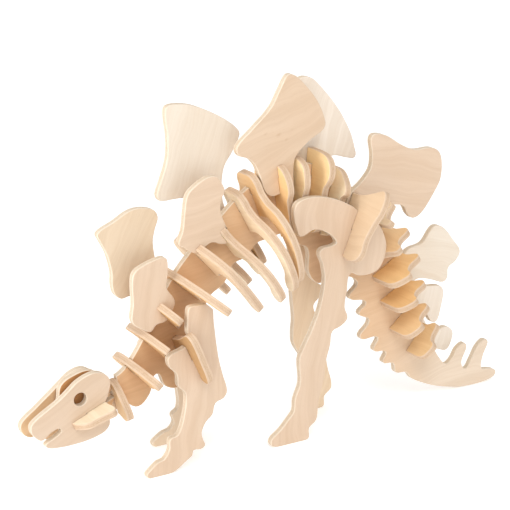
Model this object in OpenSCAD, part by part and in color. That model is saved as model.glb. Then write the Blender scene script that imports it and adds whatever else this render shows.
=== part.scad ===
// Slot-together plywood stegosaurus skeleton.
// Every piece is flat plywood and the pieces hold each other by halving slots.
// X runs from the snout (-) to the tail tip (+), Z is up, Y is across,
// and the spine plate stands on the plane y = 0 with the feet on z = 0.

/* [Plywood] */
// Thickness of every piece
t = 3; // [2.9:0.05:3.05]
// Play of a piece in its slot, across the slot
play = 0.1; // [0.04:0.02:0.2]
// Distance between neighbouring points on a cut outline
seg = 1.5; // [1:0.1:4]

/* [Stance] */
// Half distance between the two legs of a pair
leg_y = 12.8; // [12.6:0.1:13.2]
// Half distance between the two rows of back plates
plate_y = 5; // [4.9:0.1:5.2]
// Half distance between the two skull sides
skull_y = 4.3; // [4:0.1:4.6]
// Backward swing of the far hind leg
far_hind_swing = 27; // [22:1:28]
// Backward swing of the far front leg
far_front_swing = 23; // [18:1:24]

/* [Hidden] */
sw = t + play;
ox = -11.4;
oz = -1;

// ---- smooth closed outline through hand-set points ----
function unit2(a) = a / max(norm(a), 0.0001);
function herm(p, q, m, n, u) =
  p * (2*u*u*u - 3*u*u + 1) + m * (u*u*u - 2*u*u + u)
  + q * (-2*u*u*u + 3*u*u) + n * (u*u*u - u*u);
function smooth(P) = let (c = len(P))
  [for (i = [0:c-1])
    let (a = P[(i+c-1)%c], p = P[i], q = P[(i+1)%c], b = P[(i+2)%c],
         L = norm(q - p), m = unit2(q - a) * L, n = unit2(b - p) * L,
         k = max(2, ceil(L / seg)))
    for (j = [0:k-1]) herm(p, q, m, n, j / k)];
// whole outline from one half, listed from top to bottom
function both(H) = smooth(concat(H,
  [for (i = [len(H)-1:-1:0]) if (H[i][0] > 0.01) [-H[i][0], H[i][1]]]));

// outline with l taken off its left side and h off its top, in proportion
function trim(P, l, h) = let (x0 = min([for (p = P) p[0]]), x1 = max([for (p = P) p[0]]),
  z0 = min([for (p = P) p[1]]), z1 = max([for (p = P) p[1]]))
  [for (p = P) [x1 - (x1 - p[0]) * (1 - l/(x1 - x0)), z0 + (p[1] - z0) * (1 - h/(z1 - z0))]];

// ---- placing flat pieces ----
// upright piece lying along the body, at distance y across
module along(y) {
  translate([ox, y + t/2, oz]) rotate([90, 0, 0]) linear_extrude(height = t) children();
}
// piece across the body at station s = [x, z, tilt]
module across(s) {
  translate([ox + s[0], 0, oz + s[1]]) rotate([0, -s[2], 0]) translate([-t/2, 0, 0])
    rotate([90, 0, 90]) linear_extrude(height = t) children();
}
// slot cut in a lengthwise piece by the cross piece at s, from height a to b on it
module slot_s(s, a, b, wide = 0) {
  translate([s[0], s[1]]) rotate(s[2])
    translate([-(sw + wide)/2, a]) square([sw + wide, b - a]);
}
// slot cut in a cross piece by a lengthwise piece at y
module slot_y(y, a, b) { translate([y - sw/2, a]) square([sw, b - a]); }

// ---- stations: x, z at the middle of the joint, tilt ----
S_CH = [-78, 28.9, 112];
S_N1 = [-64.2, 36.6, 12];
S_N2 = [-54.3, 41.5, 42];
S_N3 = [-48, 52.5, 44];
S_R1 = [-42, 63.5, 44];
S_R2 = [-33, 73.5, 48];
S_R3 = [-24, 83, 41];
S_R4 = [-15, 90, 37];
S_R5 = [-6.5, 100, 27];
S_R6 = [-1, 106, 20];
S_R7 = [9, 108, 9];
S_B1 = [17, 109, 0];
S_B2 = [27, 109, -6];
S_B3 = [36, 103, -14];
S_PE = [42, 97, -23];
S_SH = [-36.3, 49, 24];
S_T1 = [54, 88, -40];
S_T2 = [60, 77, -58];
S_T3 = [65, 65, -61];
S_T4 = [69, 53, -62];
S_T5 = [73, 41, -50];
S_T6 = [81, 30, -38];

cream = [0.93, 0.82, 0.66];
tan = [0.87, 0.71, 0.55];
rust = [0.80, 0.55, 0.33];

// ---- lengthwise pieces ----
module spine() { color(tan) along(0) difference() {
  polygon(smooth([
    [-88,37],[-87,42],[-82,45],[-75,46],[-69,42.5],[-64,41],[-59,44],[-55.5,48],[-51.5,54],[-47.5,61],
    [-44,68],[-38,77],[-30,86],[-20,95],[-10,104],[0,110.5],[10,114],[20,115],[30,113],[39,107],
    [47,98],[54,91],[62,80],[68,68],[72.5,56],[76,45],[82,35],[88,26],[93,18],[97,14],
    [100,15.5],[103,20],[107,22],[108,19.5],[105.5,13],[108,9.5],
    [111,13],[114,18.5],[118,21.5],[120,20],[117.5,14],[117,8],[121,7],[125,5.5],[124.5,3],[120,1.6],
    [113,1.2],[105,1.6],[98,3],[91,5],[84,8],[78.5,11],[75.5,14.5],[70,15.5],[68.5,20],[63,21.5],
    [64.5,26],[58,28],[60,33.5],[51,35],[55.5,42],[50,46],[53.5,50.5],[45,54],[49,60],[42,65],[38,71],
    [31,63],[25,68],[24,79],[17,82],[12,87],[6,86],[0,85],[-5,80],[-11,78],[-15,71],[-22,66],[-25,57],[-26,45],[-30,36],
    [-36,31],[-42,32.5],[-46,38.5],[-49,31],[-54,26.5],[-59,29],[-61,33],[-64.5,31.5],
    [-67,27.5],[-72,24.5],[-80,23.5],[-86,26.5],[-88.5,31.5]]));
  slot_s(S_CH, -14, 0.1);
  for (s = [S_N1,S_N2,S_N3,S_R1,S_R2,S_R3,S_R4,S_R5,S_R6,S_R7,S_B1,S_B2,S_B3,S_PE,S_T1,S_T2,S_T3,S_T4,S_T5,S_T6])
    slot_s(s, -0.1, 30);
  slot_s(S_SH, -30, 0.1);
} }

SKULL = [[-103.2,30.3],[-103.2,27.6],[-101.8,25.3],[-99.5,23.4],[-97.8,23.6],[-95.5,25.4],[-93,26.6],[-91,26.8],[-90.2,25.6],
  [-91.4,24.4],[-94.2,22.9],[-97,21.6],[-97.3,20.4],[-95.3,19.3],[-90,18.7],[-85.4,18.7],[-80.2,19],[-75,19.9],[-71,21.4],
  [-69,23.6],[-68.8,26],[-70.2,29.5],[-71,33],[-69.7,35.6],[-68.6,38.9],[-68.1,41.6],[-68.9,44],[-71,45.9],[-73.6,46.9],
  [-76.4,46.9],[-79.6,46],[-83,44.4],[-86.3,41.8],[-89.5,39.3],[-93.3,36.9],[-97.6,34.5],[-101,32.4]];
// the far side droops a little towards the snout
DROOP = concat([[-103.8,28],[-103.9,25.4],[-102.4,23],[-99.8,21.6],[-97.6,22.2],[-95.2,24.2],[-92.6,25.9],[-90.6,26.5],[-89.6,25.4],
  [-90.6,24],[-92.6,22.6],[-94.4,21.4],[-94.6,20.3],[-93,19.3],[-89,18.7]], [for (i = [15:24]) SKULL[i]],
  [[-69.2,41],[-71.2,43.6],[-73.6,45.5],[-76.2,46.4]], [for (i = [30:33]) SKULL[i]], [[-93.5,36.3],[-98,32.9],[-101.6,30.4]]);
module skull_side(y, P) { color(tan) along(y) difference() {
  polygon(smooth(trim(P, 1.6, 0.8)));
  translate([-81, 36.7]) circle(d = 5.4, $fn = 32);
  slot_s(S_CH, -14, 0.1);
} }
module skull_near() { skull_side(-skull_y, SKULL); }
module skull_far() { skull_side(skull_y, DROOP); }

// swing of a point about c, and a ramp from 0 at height a down to 1 at height b
function rot2(p, c, a) = c + [(p[0]-c[0])*cos(a) - (p[1]-c[1])*sin(a),
  (p[0]-c[0])*sin(a) + (p[1]-c[1])*cos(a)];
function ramp(z, a, b) = min(1, max(0, (a - z) / (a - b)));
// leg outline swung back by a at the hip, with the foot kept flat on the floor
function stride(P, hip, ankle, a) = let (fall = rot2(ankle, hip, a)[1] - ankle[1])
  [for (p = P) let (q = rot2(p, ankle, -a * ramp(p[1], ankle[1] + 5, ankle[1] - 5)),
    r = rot2(q, hip, a * ramp(q[1], hip[1] + 9, hip[1] - 9)))
    [r[0], r[1] - fall * ramp(p[1], hip[1], ankle[1] + 5)]];
FRONT = [[-38.8,67.6],[-37.6,68.7],[-29,68.1],[-27.7,66.7],[-27.3,61],[-25.3,46],[-23.3,38],[-21.3,31],[-22.8,28],[-26.8,26.5],
  [-28.3,22],[-31.3,19.5],[-33.3,15.5],[-32.8,12.5],[-31.8,9.5],[-33.8,8.3],[-37.3,8.5],[-37.8,6.5],[-40.8,4.6],
  [-44.3,2.3],[-47,1.2],[-51.3,1],[-57.3,1],[-58.8,2.5],[-57.3,4.2],[-53.3,7],[-50.8,7.5],[-48.3,11],
  [-47.8,15.5],[-44.3,16.5],[-41.8,22],[-40.3,30],[-40.8,34],[-43.8,37],[-44.3,42],[-47.8,46],[-47.8,50],
  [-41.3,52.3],[-39.1,54],[-39.3,60]];
HIND = [[8.7,97],[8.7,101],[10.7,104],[18.7,105],[28.7,102.5],[36.7,98.5],[42.7,93.5],[48.7,90.5],
  [52.7,84.5],[54.2,78],[51.7,71],[47.7,68.5],[40.7,68.5],[36.2,70],[34.7,63],[33.7,56],[35.2,51],[31.7,48],
  [27.7,46.5],[26.7,41],[24.7,34],[23.7,26],[21.2,17],[20.2,9],[16.7,6],[16.7,2],[15.2,1],[6.7,1],[-1.3,1.7],
  [-1.8,4.5],[2.7,8],[6.7,12],[9.2,15],[9.7,20],[12.2,27],[11.7,37],[13.7,42],[16.7,47],[21.2,57],[23.7,69],
  [22.7,76],[21.2,82],[27.7,83.5],[29.2,84.5],[25.7,88.5],[18.7,91.5],[11.7,89.5],[10.2,92]];
// everything above the floor, so that soles are flat
module above_floor() { intersection() { children(); translate([-200, -oz]) square([400, 300]); } }
module front_leg(y, P) { along(y) difference() {
  above_floor() polygon(smooth(trim(P, 1.2, 0)));
  slot_s(S_SH, -2.1, 30);
  slot_s(S_R2, -40, 40, 0.5);
} }
module hind_leg(y, P) { along(y) difference() {
  above_floor() polygon(smooth(trim(P, 1.2, 0.6)));
  slot_s(S_PE, -10, 40);
} }
module front_leg_near() { color(tan) front_leg(-leg_y, FRONT); }
module front_leg_far() { color(cream) front_leg(leg_y, stride(FRONT, [-34, 50], [-43, 11], far_front_swing)); }
module hind_leg_near() { color(tan) hind_leg(-leg_y, HIND); }
// the far hind leg has the shorter toes
module hind_leg_far() { color(cream) hind_leg(leg_y, stride([for (p = HIND) p[0] < 5 && p[1] < 9 ? [p[0] + 3.5, p[1]] : p],
  [27, 63], [14, 12], far_hind_swing)); }

// back plates: outline, station they sit on, height of the joint on it
PN1 = [[-60,64],[-59.5,71],[-59.3,83],[-56.5,86],[-46,89],[-43.4,88],[-43.2,81],[-43.8,76],[-40,70],[-41,66],
  [-44,62],[-49,61],[-51.5,58.5],[-55,60]];
PF1 = [[-69,99],[-68,96],[-65,90],[-63,82],[-63,77],[-62,73],[-59,70.5],[-55,71],[-50,68],[-44,64],[-42,69],[-42,76],[-43,84],[-44,92],
  [-43,97],[-41.5,102],[-44,105.5],[-53,106.5],[-62,102.5]];
PN2 = [[-35.5,110.5],[-33.5,113.5],[-26.5,117.5],[-21.5,117.7],[-19.5,115.5],[-17.5,111],[-19.3,108],[-19.5,102.5],
  [-16.5,95],[-15,90],[-19,89],[-23.5,90.5],[-26.5,89.5],[-31,87],[-37.5,90.5],[-39.5,92],[-37.5,97],[-36.5,104.5]];
PF2 = [[-39,142],[-38,145],[-32,145.3],[-26,144],[-18,140.5],[-11,136.5],[-6,132.5],[-4.8,130],[-8.5,123],[-12,118],
  [-13.3,112],[-13,104],[-11,96],[-14,90],[-19,90],[-22,95],[-26,103],[-31,107],[-36,107.3],[-42,107.5],[-43.2,110],[-41,116],[-38.3,124],[-38,133]];
PN3 = [[10.5,154],[6.8,148.5],[2.5,141.5],[-6.5,133.5],[-13.3,127.5],[-12.8,124],[-8,122],[-5,119],[-2.5,113.5],[-0.2,107.5],[3,105],[9,106],[13.1,106.5],[13.3,112],
  [14.2,119.6],[20.8,125.7],[27.5,129.5],[28.8,132.5],[25,141.5],[18,150],[13.5,153.6]];
PF3 = [[22,149.5],[17,143],[10,135],[4,129],[4,125],[11,122.3],[17,121],[20.3,117],[20.3,108],[25,104],[31,106],[33,110.5],[38,115],[46,113.3],
  [50,113],[49.5,118],[47,125],[41,135],[32,145.5],[27,149.5]];
PN4 = [[49.7,123.5],[51.5,125.3],[57.5,124],[65.5,119],[72.5,116],[82,115.6],[86.3,112],[86.8,102],[83,95],[77,87.5],[72.5,85.7],[69.5,88],
  [67,92],[61,93.2],[55,93.2],[49,90.5],[43,89],[38,93],[39,100],[46,106],[50,111],[50.5,117]];
PF4 = [[77,69],[85,71],[90,77],[93,78],[97,76],[102,70],[106.2,64],[104,59.5],[100,57],[99.5,52],[97,50.5],[90,53],[83,54.5],[78,52],
  [73,50],[68.5,50.5],[66.5,54.5],[69,59.5],[72,62.5]];
PF5 = [[83,52],[90,51],[96,50],[98,47],[97,40],[94.7,33],[91.5,33.2],[88.5,37.5],[84,40.5],[79,39.5],[73.5,38.5],[71.5,42],[74.5,46.5],[78,50]];
PF6 = [[86,37],[89,32],[92,29],[96,29.4],[99,30.2],[102.5,28.8],[104,26],[102.5,20.5],[100,18.3],[96,19.5],[91,21],[85,23],[80,26.5],[80.5,32],[83.5,36]];
module plate(y, P, s, m) { along(y) difference() { polygon(smooth(trim(P, 1.6, 1.2))); slot_s(s, -40, m); } }
module plate_near_1() { color(tan) plate(-plate_y, PN1, S_R1, 4.6); }
module plate_near_2() { color(tan) along(-plate_y) difference() { polygon(smooth(trim(PN2, 1.6, 1.2)));
  slot_s(S_R4, -40, 4.6); slot_s(S_R3, -40, 4.6, 1.2); } }
module plate_near_3() { color(tan) plate(-plate_y, PN3, S_R7, 4.6); }
module plate_near_4() { color(tan) plate(-plate_y, PN4, S_PE, -1); }
module plate_far_1() { color(cream) plate(plate_y, PF1, S_R1, 4.6); }
module plate_far_2() { color(cream) plate(plate_y, PF2, S_R4, 4.6); }
module plate_far_3() { color(cream) plate(plate_y, PF3, S_B2, 5.1); }
module plate_far_4() { color(cream) plate(plate_y, PF4, S_T4, 4.1); }
module plate_far_5() { color(cream) plate(plate_y, PF5, S_T5, 3.6); }
module plate_far_6() { color(cream) plate(plate_y, PF6, S_T6, 3.1); }

// ---- cross pieces: half outlines, across and up from the joint ----
function neck_half(w, d) = [[0,6.5],[w*0.45,5.5],[w*0.8,3],[w,0],[w*0.95,-3.2],[w*0.6,-5],[w*0.35,-d+1],[0,-d]];
// rib: widest half width w, arm length d, half width e at the tip
function rib_half(w, d, e) = [[0,9],[4.5,8.6],[7,5.5],[7.5,1.5],[10,-2],[w*0.72,-5.5],[w*0.92,-d*0.3],[w,-d*0.5],
  [w*0.93,-d*0.74],[(w+e)/2,-d*0.9],[e+0.5,-d],[e-2,-d*0.97],[(w+e)/2-5.2,-d*0.84],[w-6,-d*0.68],[w-5.8,-d*0.48],
  [w*0.62,-d*0.33],[8.5,-9],[4.5,-9.5],[0,-10]];
function back_half(w, h, d) = [[0,h],[w*0.5,h-0.8],[w*0.87,h-4],[w,h-10],[w*0.92,-4],[w*0.8,-d*0.6],[w*0.55,-d*0.9],[0,-d]];
function tail_half(w, d) = [[0,d*0.8],[w*0.3,d*0.8],[w*0.55,d+0.5],[w*0.68,d-0.5],[w*0.72,d*0.4],[w*0.82,d*0.12],[w,0],[w*1.02,-d*0.3],[w*0.85,-d*0.9],[w*0.45,-d],[0,-d]];

module cross(s, H, c = rust) { color(c) across(s) difference() {
  polygon(both(H));
  slot_y(0, -30, 0.1);
  children();
} }
module neck_1() { cross(S_N1, [[0,3],[3,2],[6,-1.5],[8.5,-5.5],[10,-9],[9.6,-11.4],[7,-12],[3.5,-11],[0,-11]]); }
module neck_2() { cross(S_N2, neck_half(18, 9)); }
module neck_3() { cross(S_N3, [[0,6.5],[7.5,5.5],[13,3.5],[17,1.5],[16,0.3],[11,-0.4],[9.5,-3.5],[6,-7.5],[0,-9]]); }
module rib_1() { cross(S_R1, [[0,8.5],[5,8],[9,6],[13,3],[14.5,0],[12.8,-2.2],[9.5,-3.4],[5,-6],[3,-9],[0,-9.5]]) {
  slot_y(-plate_y, 4.55, 30); slot_y(plate_y, 4.55, 30); } }
module rib_2() { cross(S_R2, [[0,8.4],[5,8.2],[11,7],[17,3.5],[22,-1],[25.5,-6.5],[25,-9.5],[21.5,-8.5],[17,-3.5],[11,-1],[6,-4],[4,-9],[0,-10]]); }
module rib_3() { cross(S_R3, [[0,9],[6,8.8],[12,7.2],[17.5,3.8],[20.8,-1],[21,-7],[19.5,-15],[17,-23],[14.5,-28],[12,-28.7],[10.8,-26],[12.5,-20],
  [14.3,-12],[13.2,-6.5],[9,-5.5],[4.5,-9],[0,-10]]) slot_y(-plate_y, 4.55, 30); }
module rib_4() { cross(S_R4, rib_half(21, 33, 13)) { slot_y(-plate_y, 4.55, 30); slot_y(plate_y, 4.55, 30); } }
module rib_5() { cross(S_R5, rib_half(22, 37, 13)); }
module rib_6() { cross(S_R6, rib_half(22.5, 38, 14)); }
module rib_7() { cross(S_R7, [[0,10],[6,9.6],[10.5,7],[12.6,2.5],[12.4,-1.5],[10.6,-5],[10.3,-14],[8,-20],[0,-22]]) slot_y(-plate_y, 4.55, 30); }
module back_1() { cross(S_B1, [[0,10],[6,9.6],[10.5,7.5],[12,3],[12,-1],[10.6,-4.5],[10.2,-14],[8,-21],[0,-23]]); }
module back_2() { cross(S_B2, [[0,11],[6,10.8],[10.5,9.8],[13.4,6.8],[14,2.5],[12.6,-0.5],[10.4,-3.6],[10,-14],[8,-21],[0,-23]]) slot_y(plate_y, 5.05, 30); }
module back_3() { cross(S_B3, [[0,8.6],[5,8],[9,5.5],[12,2],[12.2,-0.8],[10.2,-2.5],[9.8,-12],[8,-18],[0,-20]]); }
module pelvis() { cross(S_PE, [[0,6],[5.5,4.4],[10,4],[15,5],[21.5,7.6],[26,9],[28,5.5],[27.7,0],[26.2,-4],[24.5,-12],
  [25,-17],[23.3,-20.5],[18,-22],[12,-20],[9,-14],[4,-11],[0,-11]]) {
  slot_y(leg_y, -40, -9.9); slot_y(-leg_y, -40, -9.9); slot_y(-plate_y, -1.05, 30); } }
module shoulder() { color(rust) across(S_SH) difference() {
  polygon(both([[0,4],[8,6],[14,9],[20,12],[22.5,9],[22,0],[21,-8],[19,-12],[15,-12],[8,-9],[0,-9]]));
  slot_y(0, -0.1, 30); slot_y(leg_y, -30, -1.9); slot_y(-leg_y, -30, -1.9);
} }
module tail_1() { cross(S_T1, [[0,3.4],[6.8,3.6],[9.2,8.2],[11.4,8.6],[12.2,4.5],[14,2],[17,1.8],[17.2,-0.6],[14,-1.4],[10.6,-2.4],[10,-7],[7.5,-9],[0,-9]]); }
module tail_2() { cross(S_T2, [[0,7.2],[5,7.2],[9.3,9.5],[11.6,8.5],[12.2,3.6],[14,1.1],[17,0],[17.3,-2.7],[13.6,-5],[10.4,-7.4],[7,-9],[0,-9]]); }
module tail_3() { cross(S_T3, tail_half(17.5, 9.5)); }
module tail_4() { cross(S_T4, tail_half(17, 9)) slot_y(plate_y, 4.05, 30); }
module tail_5() { cross(S_T5, tail_half(16, 8.5)) slot_y(plate_y, 3.55, 30); }
module tail_6() { cross(S_T6, tail_half(14, 8)) slot_y(plate_y, 3.05, 30); }
module cheek_bar() { color(rust) across(S_CH) difference() {
  polygon(both([[0,7],[6.5,6.8],[9.8,5],[12.3,2.4],[13,-1],[13.7,-5],[14.4,-8],[12.8,-9.3],[8,-8.8],[0,-8.8]]));
  for (y = [-skull_y, 0, skull_y]) slot_y(y, -0.1, 20);
} }

spine();
skull_near();
skull_far();
cheek_bar();
neck_1();
neck_2();
neck_3();
rib_1();
rib_2();
rib_3();
rib_4();
rib_5();
rib_6();
rib_7();
back_1();
back_2();
back_3();
pelvis();
shoulder();
tail_1();
tail_2();
tail_3();
tail_4();
tail_5();
tail_6();
front_leg_near();
front_leg_far();
hind_leg_near();
hind_leg_far();
plate_near_1();
plate_near_2();
plate_near_3();
plate_near_4();
plate_far_1();
plate_far_2();
plate_far_3();
plate_far_4();
plate_far_5();
plate_far_6();
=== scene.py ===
"""Looks of the slot-together plywood stegosaurus skeleton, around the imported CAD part."""
from math import radians, sin, cos

import bpy
from mathutils import Matrix, Vector


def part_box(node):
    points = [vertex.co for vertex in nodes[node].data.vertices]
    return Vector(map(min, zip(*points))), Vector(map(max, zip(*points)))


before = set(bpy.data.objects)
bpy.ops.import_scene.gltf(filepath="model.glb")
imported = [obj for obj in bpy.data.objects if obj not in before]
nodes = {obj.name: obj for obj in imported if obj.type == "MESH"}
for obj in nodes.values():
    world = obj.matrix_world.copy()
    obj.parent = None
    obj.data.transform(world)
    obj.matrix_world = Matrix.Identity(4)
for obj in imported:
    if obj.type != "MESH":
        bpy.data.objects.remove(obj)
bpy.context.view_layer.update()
scene = bpy.context.scene

OX = -0.0114   # shift of the outlines along the body, and down
OZ = -0.001
T = 0.003       # board

# cross pieces: x, z in mm, tilt in degrees
CROSS = {
    "cheek_bar": (-78, 28.9, 112), "neck_1": (-64.2, 36.6, 12), "neck_2": (-54.3, 41.5, 42), "neck_3": (-48, 52.5, 44),
    "rib_1": (-42, 63.5, 44), "rib_2": (-33, 73.5, 48), "rib_3": (-24, 83, 41), "rib_4": (-15, 90, 37),
    "rib_5": (-6.5, 100, 27), "rib_6": (-1, 106, 20), "rib_7": (9, 108, 9), "back_1": (17, 109, 0),
    "back_2": (27, 109, -6), "back_3": (36, 103, -14), "pelvis": (42, 97, -23), "shoulder": (-36.3, 49, 24),
    "tail_1": (54, 88, -40), "tail_2": (60, 77, -58), "tail_3": (65, 65, -61), "tail_4": (69, 53, -62),
    "tail_5": (73, 41, -50), "tail_6": (81, 30, -38),
}

# face colour of each group (linear); NEAR and FAR are one plywood in a darker and a paler copy, the far pieces' paler
# face being painted light for how they catch the light
NEAR = (0.685, 0.525, 0.390)
FAR = (0.780, 0.690, 0.580)
# WARM on the cross pieces is partly the veneer's warmer tone and partly painted shade and painted bounce light from
# the wood around their head-side faces
WARM = (0.840, 0.575, 0.300)
EDGE = (0.745, 0.645, 0.525)
EDGE_WARM = (0.67, 0.51, 0.375)
# per-piece factors on the face colour: partly each piece's own wood tone, partly painted light and shade (shoulder,
# far legs and plate_far_1 darkened as painted shade; back_3, rib_3 to rib_5 and tail_1 brightened as painted light)
TONE_AND_PAINTED_LIGHT = {
    "spine": (1.10, 1.22, 1.32), "skull_near": (0.97, 0.98, 0.99), "skull_far": (1.04, 0.935, 0.74), "plate_near_3": (0.985, 0.975, 0.95),
    "plate_far_1": (0.92, 0.83, 0.72), "plate_far_2": (0.98, 0.97, 0.96), "plate_far_3": (1.06, 1.07, 1.10), "plate_far_5": (1.04, 1.06, 1.10),
    "plate_far_6": (1.04, 1.06, 1.10), "hind_leg_far": (1.02, 0.915, 0.78), "front_leg_far": (1.0, 0.92, 0.82),
    "rib_7": (1.08, 1.10, 1.10), "back_1": (1.10, 1.26, 1.48), "back_2": (1.10, 1.20, 1.30), "back_3": (1.12, 1.42, 2.05),
    "rib_4": (1.10, 1.38, 2.00), "rib_5": (1.06, 1.30, 1.85), "rib_3": (1.02, 1.22, 1.70), "rib_1": (0.90, 0.86, 0.82), "rib_6": (0.98, 0.98, 1.0),
    "pelvis": (0.84, 0.93, 1.22), "shoulder": (0.62, 0.56, 0.52), "cheek_bar": (0.97, 1.22, 1.75), "neck_1": (0.96, 1.0, 1.12),
    "neck_2": (0.88, 0.90, 1.0), "neck_3": (0.86, 0.84, 0.86), "tail_6": (0.90, 0.94, 1.02), "tail_5": (0.94, 0.97, 1.04),
    "tail_4": (0.95, 0.93, 0.88), "tail_3": (1.02, 1.01, 0.96), "tail_2": (1.04, 1.06, 1.15), "tail_1": (1.10, 1.36, 1.95),
}


def local_frame(name):
    """Grain, cross-grain and thickness directions of a piece, and a point of its middle plane."""
    lo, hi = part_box(name)
    if name in CROSS:
        x, z, a = CROSS[name]
        a = radians(a)
        n = Vector((cos(a), 0, sin(a)))
        p = Vector((-sin(a), 0, cos(a)))
        c = Vector((OX + x / 1000, 0, OZ + z / 1000))
        return Vector((0, 1, 0)), p, n, c
    turn = radians(GRAIN.get(name, 0))
    g = Vector((cos(turn), 0, sin(turn)))
    n = Vector((0, -1, 0))
    return g, n.cross(g), n, Vector(((lo.x + hi.x) / 2, (lo.y + hi.y) / 2, (lo.z + hi.z) / 2))


# way the face grain runs in each lengthwise piece, in degrees from +X
GRAIN = {
    "spine": 8, "skull_near": 24, "skull_far": 20, "front_leg_near": 84, "front_leg_far": 78, "hind_leg_near": 82,
    "hind_leg_far": 75, "plate_near_1": 80, "plate_near_2": 12, "plate_near_3": 20, "plate_near_4": -14,
    "plate_far_1": 62, "plate_far_2": 74, "plate_far_3": 66, "plate_far_4": -20, "plate_far_5": 80, "plate_far_6": 70,
}


class Tree:
    """Small helper for building a node tree."""

    def __init__(self, tree):
        self.t = tree

    def new(self, kind, **values):
        n = self.t.nodes.new(kind)
        for k, v in values.items():
            setattr(n, k, v)
        return n

    def link(self, a, b):
        self.t.links.new(a, b)

    def put(self, socket, v):
        if isinstance(v, bpy.types.NodeSocket):
            self.link(v, socket)
        else:
            socket.default_value = v

    def math(self, op, a, b=0.0, c=None, clamp=False):
        n = self.new("ShaderNodeMath", operation=op, use_clamp=clamp)
        self.put(n.inputs[0], a)
        self.put(n.inputs[1], b)
        if c is not None:
            self.put(n.inputs[2], c)
        return n.outputs[0]

    def step(self, v, lo, hi, a=0.0, b=1.0, smooth=True):
        n = self.new("ShaderNodeMapRange", interpolation_type="SMOOTHSTEP" if smooth else "LINEAR")
        self.put(n.inputs["Value"], v)
        n.inputs["From Min"].default_value = lo
        n.inputs["From Max"].default_value = hi
        n.inputs["To Min"].default_value = a
        n.inputs["To Max"].default_value = b
        return n.outputs["Result"]

    def scaled(self, vec, s, off=(0, 0, 0)):
        n = self.new("ShaderNodeMapping", vector_type="POINT")
        self.put(n.inputs["Vector"], vec)
        n.inputs["Scale"].default_value = s
        n.inputs["Location"].default_value = off
        return n.outputs["Vector"]

    def noise(self, vec, scale=1.0, detail=3.0, rough=0.55, distort=0.0):
        n = self.new("ShaderNodeTexNoise", noise_dimensions="3D")
        self.put(n.inputs["Vector"], vec)
        n.inputs["Scale"].default_value = scale
        n.inputs["Detail"].default_value = detail
        n.inputs["Roughness"].default_value = rough
        n.inputs["Distortion"].default_value = distort
        return n.outputs["Fac"]

    def mix(self, f, a, b, mode="MIX"):
        n = self.new("ShaderNodeMix", data_type="RGBA", blend_type=mode)
        n.clamp_factor = True
        self.put(n.inputs[0], f)
        self.put(n.inputs[6], a)
        self.put(n.inputs[7], b)
        return n.outputs[2]


def rgba(c):
    return (c[0], c[1], c[2], 1.0)


def mul(a, b):
    return tuple(min(0.95, x * y) for x, y in zip(a, b))


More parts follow.
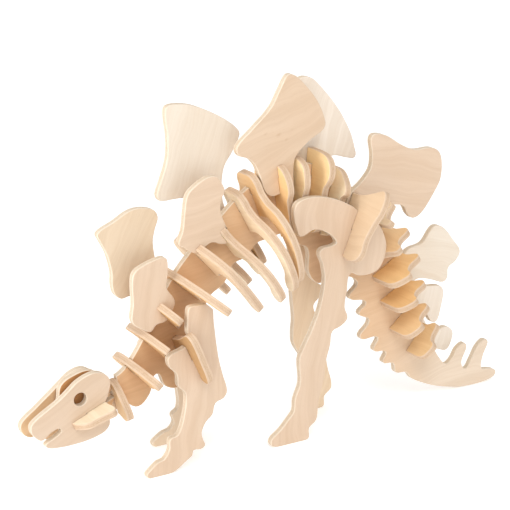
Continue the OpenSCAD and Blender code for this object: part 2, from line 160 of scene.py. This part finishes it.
def plywood(name, face, edge, seed, knot=None):
    """Bare sanded three-ply birch, drawn in the piece's own directions so that the layers follow its edge."""
    m = bpy.data.materials.new("ply_" + name)
    m.use_nodes = True
    m.node_tree.nodes.clear()
    t = Tree(m.node_tree)
    g, b, n, c = local_frame(name)
    rot = Matrix((g, b, n))
    coord = t.new("ShaderNodeTexCoord").outputs["Object"]
    mp = t.new("ShaderNodeMapping", vector_type="POINT")
    t.link(coord, mp.inputs["Vector"])
    mp.inputs["Rotation"].default_value = rot.to_euler("XYZ")
    mp.inputs["Scale"].default_value = (1000, 1000, 1000)
    mp.inputs["Location"].default_value = -(rot @ c) * 1000
    local = mp.outputs["Vector"]                      # along the grain, across it, through the board, in mm
    sep = t.new("ShaderNodeSeparateXYZ")
    t.link(local, sep.inputs[0])
    depth = t.math("ABSOLUTE", sep.outputs["Z"])
    o = (seed * 37.3, seed * 11.9, seed * 5.7)

    # face veneer: slow tone, growth bands, fine streaks and short pores
    wander = t.noise(t.scaled(local, (0.030, 0.050, 0.0), o), 1.0, 2.0, 0.5)
    bent = t.new("ShaderNodeVectorMath", operation="ADD")
    t.link(local, bent.inputs[0])
    shift = t.new("ShaderNodeCombineXYZ")
    t.link(t.math("MULTIPLY", t.math("SUBTRACT", wander, 0.5), 14.0), shift.inputs[1])
    t.link(shift.outputs[0], bent.inputs[1])
    flow = bent.outputs[0]
    tone = t.noise(t.scaled(local, (0.035, 0.06, 0.0), (o[1], o[2], 3.0)), 1.0, 2.0, 0.5)
    bands = t.noise(t.scaled(flow, (0.010, 0.30, 0.02), o), 1.0, 3.0, 0.6, 0.3)
    streak = t.noise(t.scaled(flow, (0.045, 1.7, 0.10), (o[2], o[0], 1.0)), 1.0, 4.0, 0.65, 0.2)
    pores = t.noise(t.scaled(flow, (0.42, 7.5, 1.0), (o[1], 2.0, o[0])), 1.0, 2.0, 0.6)
    dark = mul(face, (0.80, 0.735, 0.66))
    pale = mul(face, (1.10, 1.13, 1.17))
    col = t.mix(t.step(bands, 0.36, 0.66), rgba(dark), rgba(pale))
    col = t.mix(0.76, col, rgba(face))
    col = t.mix(t.step(tone, 0.35, 0.70, 0.0, 0.24), col, rgba(mul(face, (0.93, 0.86, 0.78))))
    col = t.mix(t.step(streak, 0.50, 0.72, 0.0, 0.20), col, rgba(mul(face, (0.86, 0.76, 0.64))))
    col = t.mix(t.step(streak, 0.46, 0.30, 0.0, 0.20), col, rgba(mul(face, (1.08, 1.11, 1.15))))
    if name == "spine":                               # painted shade along this long board: darker and warmer at the neck, where it lies in shade between the pieces, paler towards the tail
        sx = t.new("ShaderNodeSeparateXYZ")
        t.link(coord, sx.inputs[0])
        spine_painted_shade = t.mix(t.step(sx.outputs["X"], -0.050, -0.005), rgba((0.86, 0.64, 0.45)), rgba((0.98, 0.80, 0.63)))
        spine_painted_shade = t.mix(t.step(sx.outputs["X"], 0.035, 0.085), spine_painted_shade, rgba((0.98, 0.95, 0.93)))
        spine_painted_shade = t.mix(t.step(sx.outputs["X"], -0.078, -0.084), spine_painted_shade, rgba((0.66, 0.37, 0.17)))   # painted shade on the middle plate of the head
        painted_shade_mul = t.new("ShaderNodeVectorMath", operation="MULTIPLY")
        t.link(col, painted_shade_mul.inputs[0])
        t.link(spine_painted_shade, painted_shade_mul.inputs[1])
        col = painted_shade_mul.outputs[0]
    pore = t.step(pores, 0.64, 0.74, 0.0, 0.26)
    col = t.mix(pore, col, rgba(mul(face, (0.66, 0.52, 0.38))))
    if knot:                                          # faint pin-knot figure on one plate
        for kx, kz, kr, ks in knot:
            kp = rot @ Vector((kx, c.y, kz)) - rot @ c
            k = t.scaled(local, (0.55, 1.0, 0.0), (-kp.x * 550, -kp.y * 1000, 0))
            ln = t.new("ShaderNodeVectorMath", operation="LENGTH")
            t.link(k, ln.inputs[0])
            jitter = t.math("MULTIPLY", t.noise(local, 1.3, 2.0), 0.8)
            r = t.math("ADD", ln.outputs["Value"], jitter)
            col = t.mix(t.step(r, kr + 0.55, kr * 0.5, 0.0, ks), col, rgba(mul(face, (0.62, 0.46, 0.32))))

    # cut edge: three plies, the middle one end grain, with glue lines
    end = t.noise(t.scaled(local, (1.6, 1.6, 4.5), o), 1.0, 3.0, 0.65)
    along = t.noise(t.scaled(local, (0.25, 0.25, 6.0), o), 1.0, 2.0, 0.55)
    outer = t.mix(t.step(along, 0.35, 0.68), rgba(mul(edge, (0.93, 0.89, 0.83))), rgba(mul(edge, (1.05, 1.06, 1.07))))
    core = t.mix(t.step(end, 0.36, 0.66), rgba(mul(edge, (0.84, 0.77, 0.68))), rgba(mul(edge, (0.99, 0.97, 0.94))))
    wob = t.math("MULTIPLY", t.math("SUBTRACT", t.noise(t.scaled(local, (0.12, 0.12, 0.0), o), 1.0, 2.0), 0.5), 0.22)
    d2 = t.math("ADD", depth, wob)
    side = t.mix(t.step(d2, 0.46, 0.56), core, outer)
    glue = t.math("SUBTRACT", 1.0, t.step(t.math("ABSOLUTE", t.math("SUBTRACT", d2, 0.52)), 0.03, 0.13), clamp=True)
    side = t.mix(t.math("MULTIPLY", glue, 0.30), side, rgba(mul(edge, (0.56, 0.42, 0.29))))
    char = t.noise(t.scaled(local, (0.10, 0.10, 0.25), (o[2], o[1], o[0])), 1.0, 3.0, 0.6)
    side = t.mix(t.step(char, 0.54, 0.74, 0.0, 0.30), side, rgba(mul(edge, (0.70, 0.56, 0.42))))

    is_face = t.step(depth, 1.38, 1.47)
    col = t.mix(is_face, side, col)
    # sanded arris: the rounded corner is painted paler, partly as rubbed wear of the wood and partly as a painted rim
    # highlight
    wear_and_highlight = t.math("MULTIPLY", t.step(depth, 1.10, 1.26), t.step(depth, 1.492, 1.44))
    col = t.mix(t.math("MULTIPLY", wear_and_highlight, 0.30), col, rgba(mul(edge, (1.10, 1.12, 1.15))))

    bsdf = t.new("ShaderNodeBsdfPrincipled")
    t.link(col, bsdf.inputs["Base Color"])
    rough = t.math("ADD", t.math("MULTIPLY", streak, 0.22), t.math("MULTIPLY", pore, 0.25))
    rough = t.math("ADD", rough, t.math("MULTIPLY", t.math("SUBTRACT", 1.0, is_face), 0.14))
    t.link(t.math("ADD", rough, 0.46, clamp=True), bsdf.inputs["Roughness"])
    bsdf.inputs["Specular IOR Level"].default_value = 0.32
    bsdf.inputs["IOR"].default_value = 1.45

    height = t.math("ADD", t.math("MULTIPLY", streak, 0.9), t.math("MULTIPLY", pore, -0.9))
    edge_h = t.math("ADD", t.math("MULTIPLY", end, 1.2), t.math("MULTIPLY", glue, -1.4))
    hm = t.new("ShaderNodeMix", data_type="FLOAT")
    t.link(is_face, hm.inputs[0])
    t.link(edge_h, hm.inputs[2])
    t.link(height, hm.inputs[3])
    bump = t.new("ShaderNodeBump")
    bump.inputs["Strength"].default_value = 0.35
    bump.inputs["Distance"].default_value = 0.00012
    t.link(hm.outputs[0], bump.inputs["Height"])
    t.link(bump.outputs["Normal"], bsdf.inputs["Normal"])
    out = t.new("ShaderNodeOutputMaterial")
    t.link(bsdf.outputs[0], out.inputs["Surface"])
    return m


def dress(name, obj, seed):
    """Softened edges and the piece's own plywood on a CAD node."""
    if name in CROSS:
        face = WARM
    elif "_far" in name and name != "skull_far":
        face = FAR
    else:
        face = NEAR
    # the per-piece factors carry painted light and shade as well as wood tone
    face = mul(face, TONE_AND_PAINTED_LIGHT.get(name, (1, 1, 1)))
    knot = None
    if name == "plate_near_3":
        knot = [(-0.0045, 0.1285, 0.9, 0.26), (-0.001, 0.1262, 0.6, 0.20), (-0.0105, 0.1295, 0.6, 0.18), (0.0015, 0.1300, 0.5, 0.16)]
    obj.data.materials.clear()
    obj.data.materials.append(plywood(name, face, EDGE_WARM if name in CROSS else EDGE, seed, knot))
    weld = obj.modifiers.new("weld", "WELD")
    weld.merge_threshold = 0.00002
    bev = obj.modifiers.new("arris", "BEVEL")
    bev.width = 0.00034
    bev.segments = 3
    bev.limit_method = "ANGLE"
    bev.angle_limit = radians(50)
    bev.use_clamp_overlap = False
    bev.harden_normals = False
    bev.face_strength_mode = "FSTR_ALL"
    bev.loop_slide = False
    wn = obj.modifiers.new("flat_faces", "WEIGHTED_NORMAL")
    wn.use_face_influence = True
    wn.keep_sharp = False
    wn.weight = 50
    for p in obj.data.polygons:
        p.use_smooth = True


for i, name in enumerate(sorted(nodes)):
    dress(name, nodes[name], i + 1)

# ---- floor ----
me = bpy.data.meshes.new("floor")
s = 4.0
me.from_pydata([(-s, -s, 0), (s, -s, 0), (s, s, 0), (-s, s, 0)], [], [(0, 1, 2, 3)])
floor = bpy.data.objects.new("floor", me)
floor.location = (0, 0, -0.0001)
scene.collection.objects.link(floor)
fm = bpy.data.materials.new("floor_white")
fm.use_nodes = True
fb = fm.node_tree.nodes["Principled BSDF"]
fb.inputs["Base Color"].default_value = (0.90, 0.90, 0.90, 1)
fb.inputs["Emission Color"].default_value = (1, 1, 1, 1)
fb.inputs["Emission Strength"].default_value = 0.30
fb.inputs["Roughness"].default_value = 0.9
fb.inputs["Specular IOR Level"].default_value = 0.1
me.materials.append(fm)

# ---- light ----
world = bpy.data.worlds.new("studio")
scene.world = world
world.use_nodes = True
world.node_tree.nodes["Background"].inputs["Color"].default_value = (1.0, 1.0, 1.0, 1)
world.node_tree.nodes["Background"].inputs["Strength"].default_value = 0.84


def area(name, at, target, size, watts, color=(1, 1, 1)):
    li = bpy.data.lights.new(name, "AREA")
    li.shape = "DISK"
    li.size = size
    li.energy = watts
    li.color = color
    ob = bpy.data.objects.new(name, li)
    ob.location = at
    ob.rotation_euler = (Vector(target) - Vector(at)).to_track_quat("-Z", "Y").to_euler()
    scene.collection.objects.link(ob)
    return ob


area("key", (-0.30, -0.70, 0.85), (0, 0, 0.07), 0.50, 3.4, (1.0, 0.985, 0.96))
area("fill", (-1.00, -0.10, 0.34), (0, 0, 0.08), 0.50, 4.2, (1.0, 0.98, 0.95))

# ---- camera ----
a, e = radians(-30.9), radians(17.65)
D = 0.6712
target = Vector((OX, 0, 0.0787))
d = Vector((-sin(a) * cos(e), cos(a) * cos(e), -sin(e)))
cam = bpy.data.cameras.new("cam")
cam.sensor_fit = "HORIZONTAL"
cam.sensor_width = 36
cam.lens = 1678 / 510 * 36
cam.clip_start = 0.01
co = bpy.data.objects.new("cam", cam)
co.location = target - d * D
co.rotation_euler = d.to_track_quat("-Z", "Y").to_euler()
scene.collection.objects.link(co)
scene.camera = co

scene.view_settings.view_transform = "Standard"
scene.view_settings.look = "None"
scene.view_settings.exposure = 0.0
